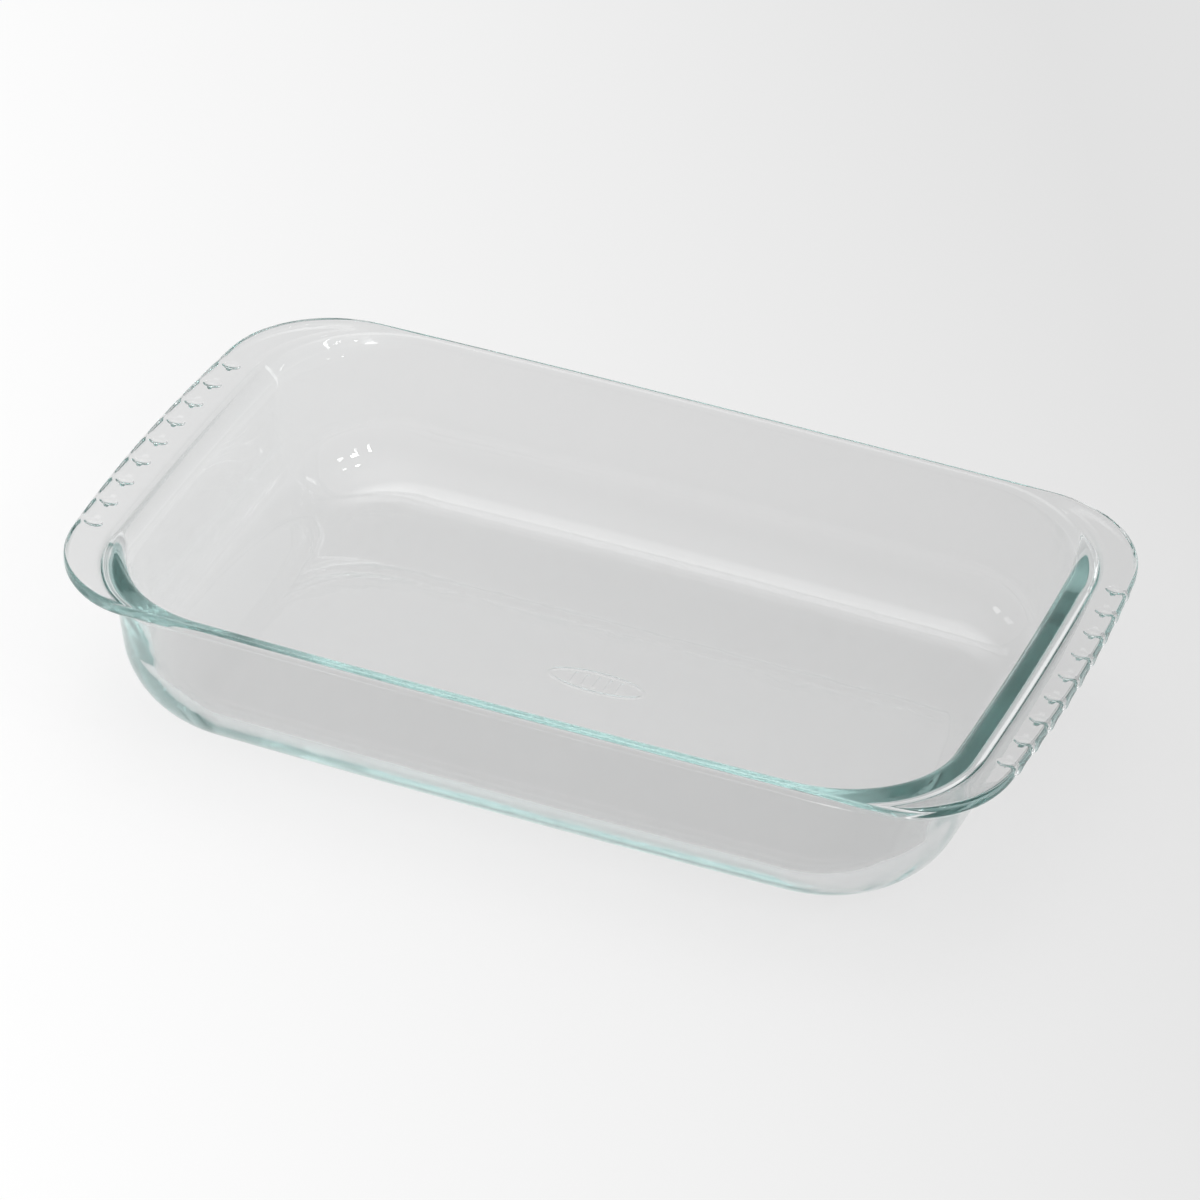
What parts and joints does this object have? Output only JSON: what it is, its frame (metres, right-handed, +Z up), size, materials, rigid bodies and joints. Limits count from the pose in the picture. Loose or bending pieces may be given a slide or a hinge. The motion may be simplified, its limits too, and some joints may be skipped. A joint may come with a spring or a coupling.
{
  "type": "oblong glass baking dish",
  "caption": "Clear pressed-glass oblong baking dish: a shallow rounded tub with a slim rolled rim and a wide flat handle shelf at each end, ribbed underneath for grip.",
  "frame": {"origin": "centre of the flat face that the dish rests on", "axes": "+X along the dish from handle to handle, +Y across it, +Z up out of its mouth"},
  "size_m": [0.325, 0.197, 0.055],
  "materials": {
    "clear_glass": "clear pressed soda-lime glass, gloss, faint green in the thick edges"
  },
  "bodies": {
    "root": {"glass_dish": "clear_glass"}
  },
  "joints": []
}
